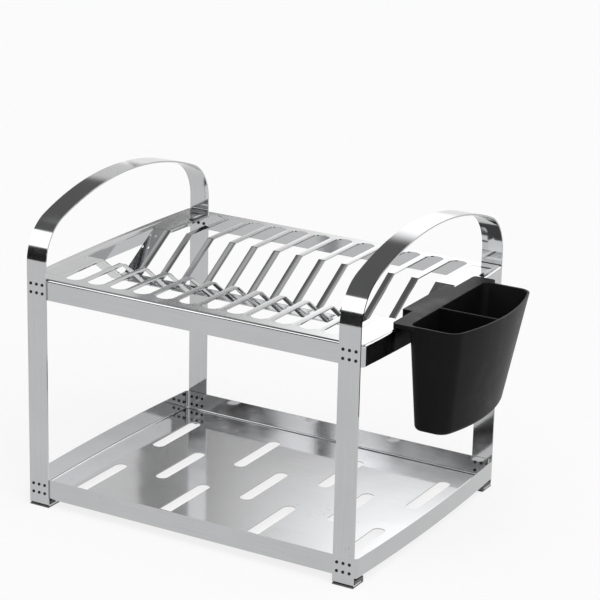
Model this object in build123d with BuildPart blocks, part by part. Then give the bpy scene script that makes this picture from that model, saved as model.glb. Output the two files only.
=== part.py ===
"""Two-tier dish drying rack: plate rack above a cup tray, carried by two arched straps."""
import os
from math import asin, cos, degrees

from build123d import *

# Sheet metal of the two trays, in millimetres
sheet_thickness = 1.0
bend_radius = 1.5
tray_corner_radius = 5.0
tray_overhang = 1.8
end_bow = 4.5
flange_height = 20.0
rack_top = 227.5

# The two straps, each one a pair of legs and a carrying handle in one piece
strap_depth = 281.0
strap_span = 351.6
strap_width = 21.3
strap_thickness = 1.5
arch_spring_above_rack = 12.5
arch_corner_radius = 45.0
arch_crown_radius = 306.0
foot_tab_length = 15.0
foot_bend_radius = 1.5

# Moulded shoes under the bent ends of the straps
sole_thickness = 1.2
foot_heel = 4.0
foot_cap = 3.2
foot_clearance = 0.1
foot_edge_radius = 0.8
foot_tray_gap = 2.0

# Rivets that hold the trays to the straps, the same pattern at each joint
rivet_columns = 3
rivet_rows = 2
rivet_pitch_x = 6.4
rivet_pitch_z = 8.4
rivet_radius = 1.0
rivet_clearance = 0.05
rivet_head_radius = 1.5
rivet_head_height = 0.5
rivet_head_edge = 0.3

# Plate rack: narrow ribs run from both ledges down into a trough with solid ends
rib_count = 11
rib_width = 7.0
hook_strip_width = 10.6
shear_gap = 0.5
end_panel_width = 20.0
trough_width = 116.0
trough_depth = 32.5
front_slope_run = 42.5
rear_slope_run = 52.0
trough_bend_radius = 2.5
trough_lap = 4.0
front_ledge_margin = 13.0
rear_ledge_margin = 9.0
opening_end_flat = 1.4

# Drain slots in the floor of the lower tray, in two staggered sets
drain_side_margin = 33.6
drain_end_margin = 33.0
drain_slot_length = 78.0
drain_slot_width = 13.0
drain_columns = 4
drain_rows = 2

# Cutlery holder that hooks over the right end of the plate rack
hook_clearance = 0.4
hook_thickness = 2.0
hook_drop = 8.0
hook_side_clearance = 3.0
lip_thickness = 4.0
lip_front_overhang = 1.0
lip_rear_overhang = 9.5
lip_setback = 10.0
lip_corner_radius = 4.0
holder_wall = 2.2
holder_height = 100.0
holder_length = 153.5
holder_offset = -4.25
holder_standoff = 6.0
holder_depth = 48.0
holder_bulge = 14.0
holder_rack_taper = 4.5
holder_outer_taper = 12.0
holder_front_taper = 8.0
holder_rear_taper = 24.5
holder_bulge_taper = 3.0
holder_corner_radius = 14.0
holder_back_radius = 9.0
holder_bottom_radius = 5.0
holder_rim_radius = 0.6
divider_from_front = 60.5
holder_drain_rows = 3
holder_drain_pitch = 13.0
holder_drain_length = 16.0
holder_drain_width = 4.0

# Places of the straps, feet and trays, worked out from the sizes
half_depth = strap_depth / 2
strap_center = (strap_span - strap_width) / 2
tray_length = strap_span + 2 * tray_overhang
tray_depth = strap_depth - 2 * strap_thickness
tray_end = tray_length / 2 + end_bow
foot_slot_top = sole_thickness + strap_thickness + foot_clearance
foot_top = foot_slot_top + foot_cap
lower_tray_bottom = foot_top + foot_tray_gap
lower_tray_floor = lower_tray_bottom + sheet_thickness
lower_joint_z = lower_tray_bottom + flange_height / 2
upper_joint_z = rack_top - flange_height / 2
rivet_grip = strap_thickness + sheet_thickness
drain_spread = tray_length - 2 * drain_side_margin
drain_pitch = drain_spread / (drain_columns - 1)
drain_row_pitch = tray_depth - 2 * drain_end_margin - drain_slot_length

# Arch of the strap: small corner arcs run smoothly into one wide crown arc
spring_z = rack_top + arch_spring_above_rack
arch_lean = asin((half_depth - arch_corner_radius) / (arch_crown_radius - arch_corner_radius))
crown_z = spring_z - (arch_crown_radius - arch_corner_radius) * cos(arch_lean)

# Layout of the plate rack
window_length = tray_length - 2 * hook_strip_width
trough_length = window_length - 2 * shear_gap
slotted_length = trough_length - 2 * end_panel_width
rib_pitch = (slotted_length + rib_width) / (rib_count + 1)
opening_width = rib_pitch - rib_width
opening_end_radius = (opening_width - opening_end_flat) / 2
ridge_y = trough_width / 2
valley_front_y = front_slope_run - ridge_y
valley_rear_y = ridge_y - rear_slope_run
valley_z = rack_top - trough_depth
opening_front_y = front_ledge_margin - tray_depth / 2
opening_rear_y = tray_depth / 2 - rear_ledge_margin

# Layout of the cutlery holder
hook_tip_x = window_length / 2 - hook_clearance - hook_thickness
slope_fall = trough_depth / max(front_slope_run, rear_slope_run)
hook_length = trough_width - 2 * (hook_drop / slope_fall + hook_side_clearance)
lip_bottom = rack_top + hook_clearance
holder_top = lip_bottom + lip_thickness
holder_bottom = holder_top - holder_height
holder_inner_x = tray_end + hook_clearance + holder_standoff
holder_outer_x = holder_inner_x + holder_depth
holder_front_y = holder_offset - holder_length / 2
holder_rear_y = holder_offset + holder_length / 2
divider_y = holder_front_y + divider_from_front
lip_front_y = holder_front_y - lip_front_overhang
lip_length = holder_length + lip_front_overhang + lip_rear_overhang

# The origin is below the middle of the whole part, so the rack stands left of it
rack_x = (tray_end - holder_outer_x - holder_bulge) / 2
plan = Plane((rack_x, 0, 0))
side = Plane((rack_x, 0, 0), x_dir=(0, 1, 0), z_dir=(1, 0, 0))
front = Plane((rack_x, 0, 0), x_dir=(1, 0, 0), z_dir=(0, -1, 0))


def tray_outline(wall):
    """Plan of a tray inside a wall: straight long sides, gently bowed ends."""
    half_x = tray_length / 2
    half_y = tray_depth / 2
    with BuildLine() as rim:
        Line((-half_x, -half_y), (half_x, -half_y))
        ThreePointArc((half_x, -half_y), (tray_end, 0), (half_x, half_y))
        Line((half_x, half_y), (-half_x, half_y))
        ThreePointArc((-half_x, half_y), (-tray_end, 0), (-half_x, -half_y))
    make_face(rim.edges())
    fillet(vertices(), radius=tray_corner_radius)
    if wall:
        offset(amount=-wall, mode=Mode.REPLACE)


def rivet_holes(center_x, center_z):
    """One joint's rivet pattern, cut through the front and rear walls together."""
    with BuildSketch(front) as pattern:
        with Locations((center_x, center_z)):
            with GridLocations(rivet_pitch_x, rivet_pitch_z, rivet_columns, rivet_rows):
                Circle(rivet_radius + rivet_clearance)
    extrude(pattern.sketch, amount=strap_depth, both=True, mode=Mode.SUBTRACT)


def rivet_discs(face, radius, length):
    """A short cylinder at every place of one joint's rivet pattern."""
    with BuildSketch(face) as pattern:
        with GridLocations(rivet_pitch_x, rivet_pitch_z, rivet_columns, rivet_rows):
            Circle(radius)
    extrude(pattern.sketch, amount=length)


def strap_path(inset):
    """Foot tab, leg, arch, leg and foot tab, drawn a given depth inside the outer face."""
    lean = degrees(arch_lean)
    corner = arch_corner_radius - inset
    corner_y = half_depth - arch_corner_radius
    bend = foot_bend_radius + strap_thickness - inset
    bend_y = half_depth - strap_thickness - foot_bend_radius
    bend_z = sole_thickness + strap_thickness + foot_bend_radius
    leg_y = half_depth - inset
    tab_y = half_depth - foot_tab_length
    tab_z = sole_thickness + inset
    Line((-tab_y, tab_z), (-bend_y, tab_z))
    CenterArc((-bend_y, bend_z), bend, 180, 90)
    Line((-leg_y, bend_z), (-leg_y, spring_z))
    CenterArc((-corner_y, spring_z), corner, 180, lean - 90)
    CenterArc((0, crown_z), arch_crown_radius - inset, 90 + lean, -2 * lean)
    CenterArc((corner_y, spring_z), corner, 90 - lean, lean - 90)
    Line((leg_y, spring_z), (leg_y, bend_z))
    CenterArc((bend_y, bend_z), bend, 0, -90)
    Line((bend_y, tab_z), (tab_y, tab_z))


def holder_outline(share, wall):
    """Plan of the holder inside a wall, at a share of its height from the bottom up."""
    drop = 1 - share
    x_in = holder_inner_x + drop * holder_rack_taper
    x_out = holder_outer_x - drop * holder_outer_taper
    x_bulge = x_out + holder_bulge - drop * holder_bulge_taper
    y_front = holder_front_y + drop * holder_front_taper
    y_rear = holder_rear_y - drop * holder_rear_taper
    with BuildLine() as rim:
        Line((x_in, y_front), (x_out, y_front))
        ThreePointArc((x_out, y_front), (x_bulge, (y_front + y_rear) / 2), (x_out, y_rear))
        Line((x_out, y_rear), (x_in, y_rear))
        Line((x_in, y_rear), (x_in, y_front))
    make_face(rim.edges())
    fillet(vertices().group_by(Axis.X)[-1], radius=holder_corner_radius)
    fillet(vertices().group_by(Axis.X)[0], radius=holder_back_radius)
    if wall:
        offset(amount=-wall, mode=Mode.REPLACE)


def finish(piece, name):
    """Label a finished piece and write it as its own file."""
    piece.part.label = name
    export_step(piece.part, f"parts/{name}.step")


os.makedirs("parts", exist_ok=True)

# Lower tray: a shallow pan with an upstanding rim and staggered drain slots
with BuildPart() as lower_tray:
    with BuildSketch(plan.offset(lower_tray_bottom)):
        tray_outline(0)
    extrude(amount=flange_height)
    with BuildSketch(plan.offset(lower_tray_floor)):
        tray_outline(sheet_thickness)
    extrude(amount=flange_height - sheet_thickness, mode=Mode.SUBTRACT)
    fillet(lower_tray.edges().group_by(Axis.Z)[1], radius=bend_radius)
    fillet(lower_tray.edges().group_by(Axis.Z)[0], radius=bend_radius + sheet_thickness)
    with BuildSketch(plan.offset(lower_tray_bottom)):
        with GridLocations(drain_pitch, drain_row_pitch, drain_columns, drain_rows):
            SlotOverall(drain_slot_length, drain_slot_width, rotation=90)
        with GridLocations(drain_pitch, 0, drain_columns - 1, 1):
            SlotOverall(drain_slot_length, drain_slot_width, rotation=90)
    extrude(amount=sheet_thickness, mode=Mode.SUBTRACT)
    for strap_side in (-1, 1):
        rivet_holes(strap_side * strap_center, lower_joint_z)
finish(lower_tray, "lower_tray")

# Plate rack: an inverted pan whose middle is pressed down into a slotted trough
with BuildPart() as plate_rack:
    with BuildSketch(plan.offset(rack_top)):
        tray_outline(0)
    extrude(amount=-flange_height)
    with BuildSketch(plan.offset(rack_top - sheet_thickness)):
        tray_outline(sheet_thickness)
    extrude(amount=sheet_thickness - flange_height, mode=Mode.SUBTRACT)
    fillet(plate_rack.edges().group_by(Axis.Z)[-2], radius=bend_radius)
    fillet(plate_rack.edges().group_by(Axis.Z)[-1], radius=bend_radius + sheet_thickness)
    with BuildSketch(plan.offset(rack_top)):
        Rectangle(window_length, trough_width + trough_lap)
    extrude(amount=-sheet_thickness, mode=Mode.SUBTRACT)

    # The trough's section, lapped into the ledges in front of it and behind it
    with BuildSketch(side.offset(-trough_length / 2)):
        with BuildLine():
            FilletPolyline(
                (-ridge_y - trough_lap, rack_top),
                (-ridge_y, rack_top),
                (valley_front_y, valley_z),
                (valley_rear_y, valley_z),
                (ridge_y, rack_top),
                (ridge_y + trough_lap, rack_top),
                radius=trough_bend_radius,
            )
            offset(amount=sheet_thickness, side=Side.RIGHT)
        make_face()
    extrude(amount=trough_length)

    # Plate openings run from each ledge over its ridge and down to the valley
    for start_y, end_y, round_end in (
        (opening_front_y, valley_front_y, 0),
        (valley_rear_y, opening_rear_y, -1),
    ):
        with BuildSketch(plan.offset(rack_top)):
            with Locations((0, (start_y + end_y) / 2)):
                with GridLocations(rib_pitch, 0, rib_count + 1, 1):
                    Rectangle(opening_width, end_y - start_y)
            fillet(vertices().group_by(Axis.Y)[round_end], radius=opening_end_radius)
        extrude(amount=-trough_depth - sheet_thickness, mode=Mode.SUBTRACT)
    for strap_side in (-1, 1):
        rivet_holes(strap_side * strap_center, upper_joint_z)
finish(plate_rack, "plate_rack")

# Straps: each one is a front leg, a carrying arch and a rear leg
for strap_side, strap_name in ((-1, "left_strap"), (1, "right_strap")):
    with BuildPart() as strap:
        with BuildSketch(side.offset(strap_side * strap_center - strap_width / 2)):
            with BuildLine():
                strap_path(0)
                strap_path(strap_thickness)
                for end_y in (foot_tab_length - half_depth, half_depth - foot_tab_length):
                    Line((end_y, sole_thickness), (end_y, sole_thickness + strap_thickness))
            make_face()
        extrude(amount=strap_width)
        rivet_holes(strap_side * strap_center, lower_joint_z)
        rivet_holes(strap_side * strap_center, upper_joint_z)
    finish(strap, strap_name)

# Feet: a moulded shoe on each bent strap end, with its sole on the worktop
for strap_side, strap_word in ((-1, "left"), (1, "right")):
    for depth_side, depth_word in ((-1, "front"), (1, "rear")):
        block_y = depth_side * (half_depth - strap_thickness - foot_bend_radius)
        slot_y = depth_side * (half_depth - foot_tab_length - foot_clearance)
        heel_y = depth_side * (half_depth - foot_tab_length - foot_heel)
        with BuildPart() as foot:
            with BuildSketch(side.offset(strap_side * strap_center - strap_width / 2)):
                with BuildLine():
                    Polyline(
                        (depth_side * half_depth, 0),
                        (depth_side * half_depth, sole_thickness),
                        (slot_y, sole_thickness),
                        (slot_y, foot_slot_top),
                        (block_y, foot_slot_top),
                        (block_y, foot_top),
                        (heel_y, foot_top),
                        (heel_y, 0),
                        close=True,
                    )
                make_face()
            extrude(amount=strap_width)
            cap_edges = foot.faces().sort_by(Axis.Z)[-1].edges()
            fillet(cap_edges.filter_by(Axis.X), radius=foot_edge_radius)
        finish(foot, f"{depth_word}_{strap_word}_foot")

# Rivets: headed outside, clinched inside, one group of separate pins at each joint
for joint_z, tray_word in ((lower_joint_z, "lower"), (upper_joint_z, "upper")):
    for strap_side, strap_word in ((-1, "left"), (1, "right")):
        for depth_side, depth_word in ((-1, "front"), (1, "rear")):
            joint_center = (rack_x + strap_side * strap_center, depth_side * half_depth, joint_z)
            strap_face = Plane(joint_center, x_dir=(1, 0, 0), z_dir=(0, depth_side, 0))
            with BuildPart() as rivets:
                rivet_discs(strap_face, rivet_head_radius, rivet_head_height)
                head_faces = rivets.faces().group_by(Axis((0, 0, 0), (0, depth_side, 0)))[-1]
                fillet(head_faces.edges(), radius=rivet_head_edge)
                rivet_discs(strap_face, rivet_radius, -rivet_grip)
                rivet_discs(strap_face.offset(-rivet_grip), rivet_head_radius, -rivet_head_height)
            finish(rivets, f"{tray_word}_{depth_word}_{strap_word}_rivets")

# Cutlery holder: a tapered bin in two compartments with a lip that hooks over the rim
with BuildPart() as holder:
    with BuildSketch(plan.offset(holder_bottom)):
        holder_outline(0, 0)
    with BuildSketch(plan.offset(holder_top)):
        holder_outline(1, 0)
    loft()
    fillet(holder.faces().sort_by(Axis.Z)[0].edges(), radius=holder_bottom_radius)

    # Lip over the end strip of the plate rack, wider where the hook hangs from it
    lip_x = hook_tip_x + lip_setback
    with BuildSketch(plan.offset(lip_bottom)):
        with Locations((lip_x, lip_front_y)):
            lip_reach = holder_inner_x + holder_back_radius - lip_x
            Rectangle(lip_reach, lip_length, align=(Align.MIN, Align.MIN))
        fillet(vertices(), radius=lip_corner_radius)
        with Locations((hook_tip_x, 0)):
            Rectangle(lip_setback, hook_length, align=(Align.MIN, Align.CENTER))
    extrude(amount=lip_thickness)
    with BuildSketch(plan.offset(lip_bottom)):
        with Locations((hook_tip_x, 0)):
            Rectangle(hook_thickness, hook_length, align=(Align.MIN, Align.CENTER))
    extrude(amount=-hook_drop)

    # The two compartments, with the divider left standing between them
    floor_share = holder_wall / holder_height
    for keep_side in (-1, 1):
        keep_y = divider_y + keep_side * (holder_wall + holder_length) / 2
        for share in (floor_share, 1):
            with BuildSketch(plan.offset(holder_bottom + share * holder_height)):
                holder_outline(share, holder_wall)
                with Locations((holder_inner_x + holder_depth / 2, keep_y)):
                    Rectangle(2 * holder_depth, holder_length, mode=Mode.INTERSECT)
        loft(mode=Mode.SUBTRACT)

    # Softened mouth of each compartment
    mouths = holder.faces().sort_by(Axis.Z)[-1].inner_wires()
    fillet([edge for mouth in mouths for edge in mouth.edges()], radius=holder_rim_radius)

    # Drain slots in the floor of each compartment
    floor_x = holder_inner_x + (holder_depth + holder_rack_taper - holder_outer_taper) / 2
    floor_front = holder_front_y + holder_front_taper
    floor_rear = holder_rear_y - holder_rear_taper
    with BuildSketch(plan.offset(holder_bottom)):
        for floor_end in (floor_front, floor_rear):
            with Locations((floor_x, (floor_end + divider_y) / 2)):
                with GridLocations(0, holder_drain_pitch, 1, holder_drain_rows):
                    SlotOverall(holder_drain_length, holder_drain_width)
    extrude(amount=holder_wall, mode=Mode.SUBTRACT)
finish(holder, "cutlery_holder")
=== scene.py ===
"""Finishes and studio of a two-tier dish drying rack of polished steel with a cutlery holder."""

from math import pi, radians
from typing import NamedTuple

import bmesh
import bpy
from bpy.props import FloatProperty, FloatVectorProperty, PointerProperty
from mathutils import Matrix, Vector

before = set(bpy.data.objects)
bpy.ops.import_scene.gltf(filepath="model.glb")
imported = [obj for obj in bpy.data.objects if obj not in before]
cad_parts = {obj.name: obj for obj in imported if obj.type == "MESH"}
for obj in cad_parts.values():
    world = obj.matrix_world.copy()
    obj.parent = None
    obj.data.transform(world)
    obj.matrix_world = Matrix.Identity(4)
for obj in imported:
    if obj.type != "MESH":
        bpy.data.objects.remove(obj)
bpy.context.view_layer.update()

bl_info = {
    "name": "Dish drying rack",
    "version": (1, 0, 0),
    "blender": (4, 5, 0),
    "location": "View3D > Sidebar > Dish Rack",
    "description": "Dresses the dish drying rack and sets up its studio",
    "category": "Object",
}

STRAPS = ("left_strap", "right_strap")
FEET = ("front_left_foot", "rear_left_foot", "front_right_foot", "rear_right_foot")
RIVETS = tuple(
    f"{level}_{end}_{side}_rivets"
    for level in ("lower", "upper") for end in ("front", "rear") for side in ("left", "right"))
HOLDER = "cutlery_holder"

# Polished sheet: stretch of the rolled grain, and scale, onset and strength of its marks
TRAY_GRAIN = (14.0, 900.0, 900.0)
STRAP_GRAIN = (1100.0, 16.0, 16.0)
SMEAR_SCALE = 22.0
DROP_SCALE = 210.0
DROP_PATCH_SCALE = 31.0
DROP_PATCHES = (0.60, 0.68)
DROP_EDGE = (0.16, 0.24)
WORN = (0.42, 0.72)
GRAIN_SHARE = 0.6
SHEET_MARKS = (0.3, 0.7)
SHEET_TONES = (0.95, 1.03)
DROP_TONE = 0.80
DROP_STRENGTH = 0.35
WAVE_HEIGHT = 0.0006
WAVE_STRENGTH = 0.30
GRAIN_HEIGHT = 0.00002
GRAIN_STRENGTH = 0.08
GRAIN_ROUGHNESS = 0.05
WORN_ROUGHNESS = 0.05
DROP_ROUGHNESS = 0.12
RIB_RUN_OUT = 0.006

# Rivet heads
STAIN_SCALE = 420.0
STAIN = (0.35, 0.7)
STAIN_TONE = 0.6
SCUFF_SCALE = 1400.0
SCUFF_HEIGHT = 0.00005
SCUFF_STRENGTH = 0.4
RIVET_ROUGHNESS = 0.30
SCUFF_ROUGHNESS = 0.18
STAIN_ROUGHNESS = 0.1

# Moulded plastic
PLASTIC_GRAIN_SCALE = 2600.0
PLASTIC_GRAIN_STRENGTH = 0.5
PLASTIC_GRAIN_ROUGHNESS = 0.12
RUBBED_SCALE = 38.0
RUBBED = (0.48, 0.75)
RUBBED_TONE = 1.45
RUBBED_STRENGTH = 0.6
RUBBED_SMOOTHNESS = 0.09
DUST_SCALE = 900.0
DUST_PATCHES = (0.62, 0.8)
DUST_COLOUR = (0.30, 0.30, 0.29)
DUST_STRENGTH = 0.012

# Stage
FLOOR_DROP = 0.0002
FLOOR_SPECK_SCALE = 6.0
FLOOR_SPECK_TONE = 1.01
FLOOR_ROUGHNESS = 0.85
FLOOR_SPECK_ROUGHNESS = 0.1
TOP_LIGHT_BACK = (0.42, -0.28, 1.0)
WALL_FADE_START = 0.4
CARD_TONES = ((0.05, 0.05, 0.05), (0.07, 0.07, 0.07))
CARD_SPECK_SCALE = 40.0
CARD_ROUGHNESS = 0.9
SENSOR_WIDTH = 36.0


class SoftBox(NamedTuple):
    """A soft box, with the direction that its back faces and the shares of its size that fade out."""
    name: str
    place: tuple
    back: tuple
    width: float
    height: float
    level: float
    soft_ends: float
    soft_edges: float


SOFT_BOXES = (
    SoftBox("box_behind", (0.40, 1.15, 0.84), (0.0, 1.0, 0.0), 2.7, 1.1, 1.75, 0.2, 0.35),
    SoftBox("box_left", (-1.10, 1.15, 0.75), (0.0, 1.0, 0.0), 1.0, 0.9, 0.65, 0.2, 0.2),
    SoftBox("box_front", (-0.95, -1.50, 1.35), (-0.47, -0.70, 0.53), 1.8, 1.15, 1.8, 0.1, 0.06),
    SoftBox("box_strip", (-0.90, 0.15, 1.60), (0.0, 0.0, 1.0), 0.5, 0.9, 0.5, 0.45, 0.3),
    SoftBox("box_low", (-0.93, -1.48, 0.70), (0.0, -1.0, 0.0), 0.26, 0.45, 1.65, 0.1, 0.1),
    SoftBox("box_near", (0.25, -1.75, 0.75), (0.0, -1.0, 0.0), 1.3, 1.2, 0.95, 0.2, 0.25),
    SoftBox("box_corner", (1.35, -1.40, 0.75), (0.7, -0.7, 0.0), 1.5, 1.2, 0.95, 0.2, 0.25),
    SoftBox("box_side_left", (-1.80, 0.20, 0.70), (-1.0, 0.0, 0.0), 2.2, 1.3, 0.95, 0.2, 0.25),
    SoftBox("box_side_right", (1.80, 0.10, 0.70), (1.0, 0.0, 0.0), 2.4, 1.3, 0.95, 0.2, 0.25),
    SoftBox("box_above", (0.55, 0.0, 2.00), (0.0, 0.0, 1.0), 2.2, 2.6, 0.95, 0.2, 0.2),
)


class Socket:
    """A shader socket that takes part in plain arithmetic."""

    def __init__(self, tree, socket):
        self.tree = tree
        self.socket = socket

    def math(self, operation, first, second=0.0):
        return self.tree.node("ShaderNodeMath", {"operation": operation}, {0: first, 1: second})

    def __add__(self, other):
        return self.math("ADD", self, other)

    def __radd__(self, other):
        return self.math("ADD", other, self)

    def __sub__(self, other):
        return self.math("SUBTRACT", self, other)

    def __rsub__(self, other):
        return self.math("SUBTRACT", other, self)

    def __mul__(self, other):
        return self.math("MULTIPLY", self, other)

    def __rmul__(self, other):
        return self.math("MULTIPLY", other, self)

    def __truediv__(self, other):
        return self.math("DIVIDE", self, other)

    def __rtruediv__(self, other):
        return self.math("DIVIDE", other, self)

    def size(self):
        return self.math("ABSOLUTE", self)

    def rises(self, low, high):
        """0 below low, 1 above high, and smooth in between."""
        return self.tree.node(
            "ShaderNodeMapRange", {"interpolation_type": "SMOOTHSTEP"},
            {"Value": self, "From Min": low, "From Max": high})


class Shading:
    """A node tree that is filled one node at a time."""

    def __init__(self, tree):
        self.tree = tree

    def node(self, kind, settings=None, sockets=None, out=0):
        made = self.tree.nodes.new(kind)
        for name, value in (settings or {}).items():
            setattr(made, name, value)
        for key, value in (sockets or {}).items():
            self.feed(made.inputs[key], value)
        return Socket(self, made.outputs[out])

    def feed(self, target, value):
        if isinstance(value, Socket):
            self.tree.links.new(value.socket, target)
        else:
            target.default_value = value

    def place(self, scale=(1.0, 1.0, 1.0)):
        spot = self.node("ShaderNodeTexCoord", out="Object")
        return self.node("ShaderNodeMapping", None, {"Vector": spot, "Scale": scale})

    def noise(self, scale, stretch=(1.0, 1.0, 1.0), detail=3.0, roughness=0.55):
        return self.node(
            "ShaderNodeTexNoise", None,
            {"Vector": self.place(stretch), "Scale": scale, "Detail": detail, "Roughness": roughness})

    def parts(self, vector):
        """The three parts of a vector."""
        split = self.node("ShaderNodeSeparateXYZ", None, {0: vector}).socket.node
        return tuple(Socket(self, part) for part in split.outputs)

    def shown(self):
        """1 for rays that show a backdrop, straight or in a mirror, and 0 for those that light with it."""
        path = self.node("ShaderNodeLightPath").socket.node.outputs
        camera, mirror, glass = (
            Socket(self, path[name]) for name in ("Is Camera Ray", "Is Glossy Ray", "Is Transmission Ray"))
        return camera + mirror + glass

    def mix(self, share, first, second):
        return self.node(
            "ShaderNodeMix", {"data_type": "RGBA"}, {0: share, 6: rgba(first), 7: rgba(second)}, out=2)


class Finish(Shading):
    """A material with one Principled shader, ready for its sockets."""

    def __init__(self, name):
        self.material = bpy.data.materials.new(name)
        self.material.use_nodes = True
        super().__init__(self.material.node_tree)
        self.shader = next(n for n in self.tree.nodes if n.type == "BSDF_PRINCIPLED")

    def set(self, **sockets):
        for name, value in sockets.items():
            self.feed(self.shader.inputs[name.replace("_", " ")], value)

    def bump(self, height, distance, strength=1.0, below=None):
        sockets = {"Height": height, "Distance": distance, "Strength": strength}
        if below is not None:
            sockets["Normal"] = below
        return self.node("ShaderNodeBump", None, sockets)


def rgba(colour):
    """A colour with full alpha."""
    if isinstance(colour, Socket) or len(colour) == 4:
        return colour
    return (*colour, 1.0)


def scaled(colour, factor):
    """A colour made darker or lighter."""
    return tuple(min(1.0, channel * factor) for channel in colour)


def hollow_ribs(steel, looks):
    """Height across the shallow hollow that the press leaves along the ribs between the plate openings."""
    along, across, _ = steel.parts(steel.place())
    turns = (along - looks.rib_middle) / looks.rib_pitch + 0.5
    off = steel.node("ShaderNodeMath", {"operation": "FRACT"}, {0: turns}) - 0.5
    reach = off.size() * looks.rib_pitch
    reach = reach.math("MINIMUM", reach, looks.rib_width / 2)
    inside = 1.0 - across.size().rises(looks.rib_end - RIB_RUN_OUT, looks.rib_end)
    return reach * reach * inside / (2.0 * looks.rib_hollow)


def polished_steel(name, looks, grain, ribbed=False):
    """Bright rolled sheet: a fine grain along it, faint waves, wiped smears and dried water spots."""
    steel = Finish(name)
    streaks = steel.noise(1.0, grain, detail=4.0, roughness=0.65)
    smears = steel.noise(SMEAR_SCALE, detail=4.0)
    drops = steel.node(
        "ShaderNodeTexVoronoi", {"feature": "SMOOTH_F1"},
        {"Vector": steel.place(), "Scale": DROP_SCALE, "Randomness": 1.0}, out="Distance")
    chosen = steel.noise(DROP_PATCH_SCALE, detail=2.0).rises(*DROP_PATCHES)
    spots = (1.0 - drops.rises(*DROP_EDGE)) * chosen
    worn = smears.rises(*WORN)
    tone = (streaks * GRAIN_SHARE + smears * (1.0 - GRAIN_SHARE)).rises(*SHEET_MARKS)
    dark, light = (scaled(looks.steel, factor) for factor in SHEET_TONES)
    colour = steel.mix(tone, dark, light)
    waves = steel.noise(looks.wave_scale, detail=1.0)
    normal = steel.bump(waves, WAVE_HEIGHT, WAVE_STRENGTH)
    if ribbed:
        normal = steel.bump(hollow_ribs(steel, looks), 1.0, 1.0, normal)
    normal = steel.bump(streaks, GRAIN_HEIGHT, GRAIN_STRENGTH, normal)
    steel.set(
        Base_Color=steel.mix(spots * DROP_STRENGTH, colour, scaled(looks.steel, DROP_TONE)),
        Metallic=1.0,
        Roughness=(
            looks.steel_roughness + streaks * GRAIN_ROUGHNESS + worn * WORN_ROUGHNESS
            + spots * DROP_ROUGHNESS),
        Normal=normal)
    return steel.material


def rivet_steel(looks):
    """Dull pressed heads painted near black as painted shade for their punched dimples, with darker stains
    in patches.
    """
    steel = Finish("rivet_steel_shade_and_wear")
    stain = steel.noise(STAIN_SCALE, detail=3.0).rises(*STAIN)
    scuff = steel.noise(SCUFF_SCALE, detail=2.0)
    steel.set(
        Base_Color=steel.mix(stain, looks.rivet, scaled(looks.rivet, STAIN_TONE)),
        Metallic=1.0,
        Roughness=RIVET_ROUGHNESS + scuff * SCUFF_ROUGHNESS + stain * STAIN_ROUGHNESS,
        Normal=steel.bump(scuff, SCUFF_HEIGHT, SCUFF_STRENGTH))
    return steel.material


def moulded_plastic(name, colour, roughness, grain_depth, gloss):
    """Fine-grained moulded plastic, rubbed a little smoother and paler in patches."""
    plastic = Finish(name)
    grain = plastic.noise(PLASTIC_GRAIN_SCALE, detail=2.0)
    rubbed = plastic.noise(RUBBED_SCALE, detail=4.0).rises(*RUBBED)
    dust = plastic.noise(DUST_SCALE, detail=3.0).rises(*DUST_PATCHES)
    tone = plastic.mix(rubbed * RUBBED_STRENGTH, colour, scaled(colour, RUBBED_TONE))
    plastic.set(
        Base_Color=plastic.mix(dust * DUST_STRENGTH, tone, DUST_COLOUR),
        Roughness=roughness + grain * PLASTIC_GRAIN_ROUGHNESS - rubbed * RUBBED_SMOOTHNESS,
        Specular_IOR_Level=gloss,
        Normal=plastic.bump(grain, grain_depth, PLASTIC_GRAIN_STRENGTH))
    return plastic.material


def aimed(back):
    """Turn of a lamp that shines away from the direction back."""
    return Vector(back).to_track_quat("Z", "Y").to_euler()


def dress(names, material):
    """Give CAD nodes a better material in the slots that they already have."""
    for name in names:
        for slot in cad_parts[name].material_slots:
            slot.material = material


class RackLooks(bpy.types.PropertyGroup):
    """Colours and finish of the rack."""
    steel: FloatVectorProperty(
        name="Steel", description="Colour of the polished sheet", subtype="COLOR", size=3,
        min=0.0, max=1.0, default=(0.49, 0.493, 0.50))
    steel_roughness: FloatProperty(
        name="Steel roughness", description="Roughness of clean polished sheet",
        min=0.0, max=1.0, default=0.05)
    wave_scale: FloatProperty(
        name="Sheet waves", description="Waves in the sheet for each metre", min=0.0, default=14.0)
    rib_middle: FloatProperty(
        name="Middle rib", description="Place of the middle rib along the rack",
        unit="LENGTH", default=-0.0342)
    rib_pitch: FloatProperty(
        name="Rib pitch", description="Distance from rib to rib", unit="LENGTH", default=0.025)
    rib_width: FloatProperty(
        name="Rib width", description="Width of a rib", unit="LENGTH", default=0.007)
    rib_end: FloatProperty(
        name="Rib end", description="Distance of the ends of the ribs from the middle of the rack",
        unit="LENGTH", default=0.126)
    rib_hollow: FloatProperty(
        name="Rib hollow", description="Radius of the hollow along a rib", unit="LENGTH", default=0.05)
    # The near-black rivet colour is painted shade: it stands in for the shade inside the punched dimples
    # of the heads.
    rivet: FloatVectorProperty(
        name="Rivets", description="Colour of the rivet heads", subtype="COLOR", size=3,
        min=0.0, max=1.0, default=(0.035, 0.034, 0.033))
    foot: FloatVectorProperty(
        name="Feet", description="Colour of the moulded feet", subtype="COLOR", size=3,
        min=0.0, max=1.0, default=(0.12, 0.12, 0.122))
    holder: FloatVectorProperty(
        name="Cutlery holder", description="Colour of the cutlery holder", subtype="COLOR", size=3,
        min=0.0, max=1.0, default=(0.006, 0.006, 0.0063))


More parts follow.
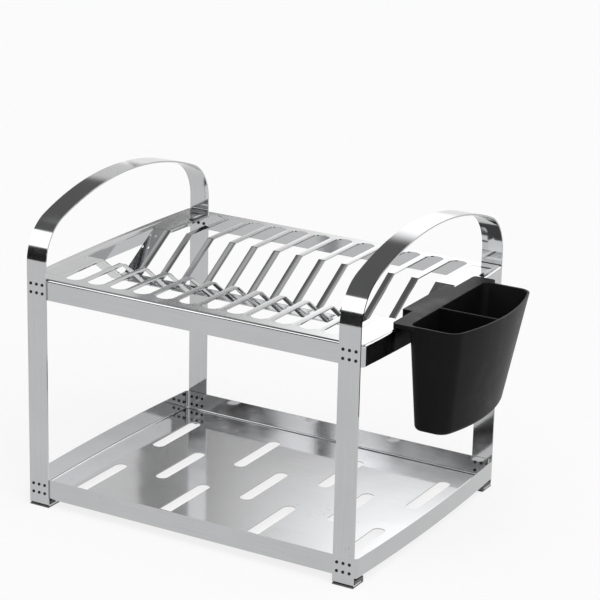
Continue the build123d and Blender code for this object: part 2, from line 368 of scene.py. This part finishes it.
class RackStudio(bpy.types.PropertyGroup):
    """Floor, light and camera."""
    floor_size: FloatProperty(
        name="Floor size", description="Length of a side of the floor", unit="LENGTH", default=16.0)
    floor: FloatVectorProperty(
        name="Floor", description="Colour of the floor", subtype="COLOR", size=3,
        min=0.0, max=1.0, default=(0.93, 0.93, 0.93))
    floor_glow: FloatProperty(
        name="Floor glow", description="Share of plain white that the floor shows, also in the steel",
        min=0.0, max=1.0, default=0.8)
    sun: FloatProperty(
        name="Top light", description="Strength of the wide light from above", min=0.0, default=2.5)
    sun_spread: FloatProperty(
        name="Top light spread", description="How wide the light from above is", subtype="ANGLE",
        default=radians(70.0))
    box_level: FloatProperty(
        name="Soft boxes", description="Brightness of the soft boxes, against their own level",
        min=0.0, default=1.14)
    room_level: FloatProperty(
        name="Room", description="Brightness of the room around the stage", min=0.0, default=0.17)
    wall_top: FloatProperty(
        name="Wall", description="Sine of the height at which the white wall has faded into the room",
        min=0.0, max=1.0, default=0.25)
    card_place: FloatVectorProperty(
        name="Dark card", description="Place of the middle of the dark card", subtype="TRANSLATION",
        unit="LENGTH", size=3, default=(-0.93, -1.50, 0.38))
    card_width: FloatProperty(
        name="Card width", description="Width of the dark card", unit="LENGTH", default=0.95)
    card_height: FloatProperty(
        name="Card height", description="Height of the dark card", unit="LENGTH", default=0.76)
    camera_place: FloatVectorProperty(
        name="Camera", description="Place of the camera", subtype="TRANSLATION", unit="LENGTH", size=3,
        default=(1.030386, -1.805424, 0.889792))
    camera_turn: FloatVectorProperty(
        name="Camera turn", description="Turn of the camera", subtype="EULER", unit="ROTATION", size=3,
        default=(radians(71.75242), radians(-1.27316), radians(30.11284)))
    lens: FloatProperty(
        name="Lens", description="Focal length in millimetres on a 36 mm sensor", min=1.0, default=140.543)


class RACK_OT_trays(bpy.types.Operator):
    """Polish the plate rack and the lower tray"""
    bl_idname = "dish_rack.trays"
    bl_label = "Trays"

    def execute(self, context):
        looks = context.scene.dish_rack_looks
        dress(("plate_rack",), polished_steel("rack_steel_polished", looks, TRAY_GRAIN, ribbed=True))
        dress(("lower_tray",), polished_steel("tray_steel_polished", looks, TRAY_GRAIN))
        return {"FINISHED"}


class RACK_OT_straps(bpy.types.Operator):
    """Polish the two leg and arch straps"""
    bl_idname = "dish_rack.straps"
    bl_label = "Straps"

    def execute(self, context):
        looks = context.scene.dish_rack_looks
        dress(STRAPS, polished_steel("strap_steel_polished", looks, STRAP_GRAIN))
        return {"FINISHED"}


class RACK_OT_rivets(bpy.types.Operator):
    """Give the rivet heads their dull steel"""
    bl_idname = "dish_rack.rivets"
    bl_label = "Rivets"

    def execute(self, context):
        dress(RIVETS, rivet_steel(context.scene.dish_rack_looks))
        return {"FINISHED"}


class RACK_OT_feet(bpy.types.Operator):
    """Give the four feet their dark plastic"""
    bl_idname = "dish_rack.feet"
    bl_label = "Feet"

    def execute(self, context):
        looks = context.scene.dish_rack_looks
        dress(FEET, moulded_plastic(
            "foot_plastic_grained", looks.foot, roughness=0.46, grain_depth=0.00006, gloss=0.15))
        return {"FINISHED"}


class RACK_OT_holder(bpy.types.Operator):
    """Give the cutlery holder its black plastic"""
    bl_idname = "dish_rack.holder"
    bl_label = "Cutlery holder"

    def execute(self, context):
        looks = context.scene.dish_rack_looks
        dress((HOLDER,), moulded_plastic(
            "holder_plastic_grained", looks.holder, roughness=0.36, grain_depth=0.00005, gloss=0.08))
        return {"FINISHED"}


class RACK_OT_stage(bpy.types.Operator):
    """Set up the floor, the studio light and the camera"""
    bl_idname = "dish_rack.stage"
    bl_label = "Stage"

    def execute(self, context):
        studio = context.scene.dish_rack_studio
        self.floor(context, studio)
        self.light(context, studio)
        self.card(context, studio)
        self.surroundings(context, studio)
        self.camera(context, studio)
        context.scene.view_settings.view_transform = "Standard"
        return {"FINISHED"}

    def floor(self, context, studio):
        mesh = bpy.data.meshes.new("studio_floor")
        shape = bmesh.new()
        bmesh.ops.create_grid(shape, x_segments=1, y_segments=1, size=studio.floor_size / 2)
        shape.to_mesh(mesh)
        shape.free()
        paint = Finish("studio_floor_paint")
        speck = paint.noise(FLOOR_SPECK_SCALE, detail=3.0)
        paint.set(
            Base_Color=paint.mix(speck, studio.floor, scaled(studio.floor, FLOOR_SPECK_TONE)),
            Roughness=FLOOR_ROUGHNESS + speck * FLOOR_SPECK_ROUGHNESS,
            Specular_IOR_Level=0.0)
        glow = paint.node("ShaderNodeEmission", None, {"Color": (1.0, 1.0, 1.0, 1.0), "Strength": 1.0})
        seen = paint.node(
            "ShaderNodeMixShader", None,
            {0: paint.shown() * studio.floor_glow, 1: Socket(paint, paint.shader.outputs[0]), 2: glow})
        surface = next(n for n in paint.tree.nodes if n.type == "OUTPUT_MATERIAL")
        paint.feed(surface.inputs["Surface"], seen)
        mesh.materials.append(paint.material)
        floor = bpy.data.objects.new("studio_floor", mesh)
        floor.location.z = -FLOOR_DROP
        context.scene.collection.objects.link(floor)

    def light(self, context, studio):
        """One wide light from above, and the soft boxes that the steel shows."""
        lamp = bpy.data.lights.new("top_light", "SUN")
        lamp.energy = studio.sun
        lamp.angle = studio.sun_spread
        light = bpy.data.objects.new("top_light", lamp)
        light.rotation_euler = aimed(TOP_LIGHT_BACK)
        light.visible_glossy = False
        context.scene.collection.objects.link(light)
        for box in SOFT_BOXES:
            lamp = bpy.data.lights.new(box.name, "AREA")
            lamp.shape = "RECTANGLE"
            lamp.size = box.width
            lamp.size_y = box.height
            lamp.energy = studio.box_level * box.level * pi * box.width * box.height
            lamp.use_nodes = True
            cloth = Shading(lamp.node_tree)
            across, along, _ = cloth.parts(cloth.node("ShaderNodeNewGeometry", out="Parametric"))
            fade = (0.5 - (across - 0.5).size()).rises(0.0, box.soft_ends) * (
                0.5 - (along - 0.5).size()).rises(0.0, box.soft_edges)
            glow = next(n for n in lamp.node_tree.nodes if n.type == "EMISSION")
            cloth.feed(glow.inputs["Color"], fade)
            light = bpy.data.objects.new(box.name, lamp)
            light.location = box.place
            light.rotation_euler = aimed(box.back)
            light.visible_diffuse = False
            context.scene.collection.objects.link(light)

    def card(self, context, studio):
        """A dark card standing in front, which only the steel shows."""
        mesh = bpy.data.meshes.new("dark_card")
        shape = bmesh.new()
        bmesh.ops.create_grid(shape, x_segments=1, y_segments=1, size=0.5)
        bmesh.ops.scale(shape, vec=(studio.card_width, studio.card_height, 1.0), verts=shape.verts)
        bmesh.ops.rotate(shape, matrix=Matrix.Rotation(pi / 2, 3, "X"), verts=shape.verts)
        bmesh.ops.translate(shape, vec=studio.card_place, verts=shape.verts)
        shape.to_mesh(mesh)
        shape.free()
        paint = Finish("dark_card_paint")
        speck = paint.noise(CARD_SPECK_SCALE)
        paint.set(
            Base_Color=paint.mix(speck, *CARD_TONES),
            Roughness=CARD_ROUGHNESS,
            Specular_IOR_Level=0.0)
        mesh.materials.append(paint.material)
        card = bpy.data.objects.new("dark_card", mesh)
        card.visible_camera = False
        card.visible_diffuse = False
        card.visible_shadow = False
        context.scene.collection.objects.link(card)

    def surroundings(self, context, studio):
        """A white wall all around that fades upwards into a dim room."""
        world = bpy.data.worlds.new("studio_world")
        world.use_nodes = True
        context.scene.world = world
        air = Shading(world.node_tree)
        background = next(n for n in world.node_tree.nodes if n.type == "BACKGROUND")
        _, _, height = air.parts(air.node("ShaderNodeTexCoord", out="Generated"))
        wall = air.shown() * (1.0 - height.rises(studio.wall_top * WALL_FADE_START, studio.wall_top))
        air.feed(background.inputs["Color"], studio.room_level + wall * (1.0 - studio.room_level))

    def camera(self, context, studio):
        lens = bpy.data.cameras.new("photo_camera")
        lens.sensor_width = SENSOR_WIDTH
        lens.lens = studio.lens
        camera = bpy.data.objects.new("photo_camera", lens)
        camera.location = studio.camera_place
        camera.rotation_euler = studio.camera_turn
        context.scene.collection.objects.link(camera)
        context.scene.camera = camera


class RACK_PT_panel(bpy.types.Panel):
    """The steps that dress the dish rack"""
    bl_idname = "RACK_PT_panel"
    bl_label = "Dish Rack"
    bl_space_type = "VIEW_3D"
    bl_region_type = "UI"
    bl_category = "Dish Rack"

    def draw(self, context):
        layout = self.layout
        for group in (context.scene.dish_rack_looks, context.scene.dish_rack_studio):
            for name in group.__annotations__:
                layout.prop(group, name)
        for step in STEPS:
            layout.operator(step.bl_idname)


STEPS = (RACK_OT_trays, RACK_OT_straps, RACK_OT_rivets, RACK_OT_feet, RACK_OT_holder, RACK_OT_stage)
CLASSES = (RackLooks, RackStudio, *STEPS, RACK_PT_panel)


def register():
    for each in CLASSES:
        bpy.utils.register_class(each)
    bpy.types.Scene.dish_rack_looks = PointerProperty(type=RackLooks)
    bpy.types.Scene.dish_rack_studio = PointerProperty(type=RackStudio)


def unregister():
    del bpy.types.Scene.dish_rack_studio
    del bpy.types.Scene.dish_rack_looks
    for each in reversed(CLASSES):
        bpy.utils.unregister_class(each)


def main():
    register()
    for step in STEPS:
        group, name = step.bl_idname.split(".")
        getattr(getattr(bpy.ops, group), name)()


if __name__ == "__main__":
    main()
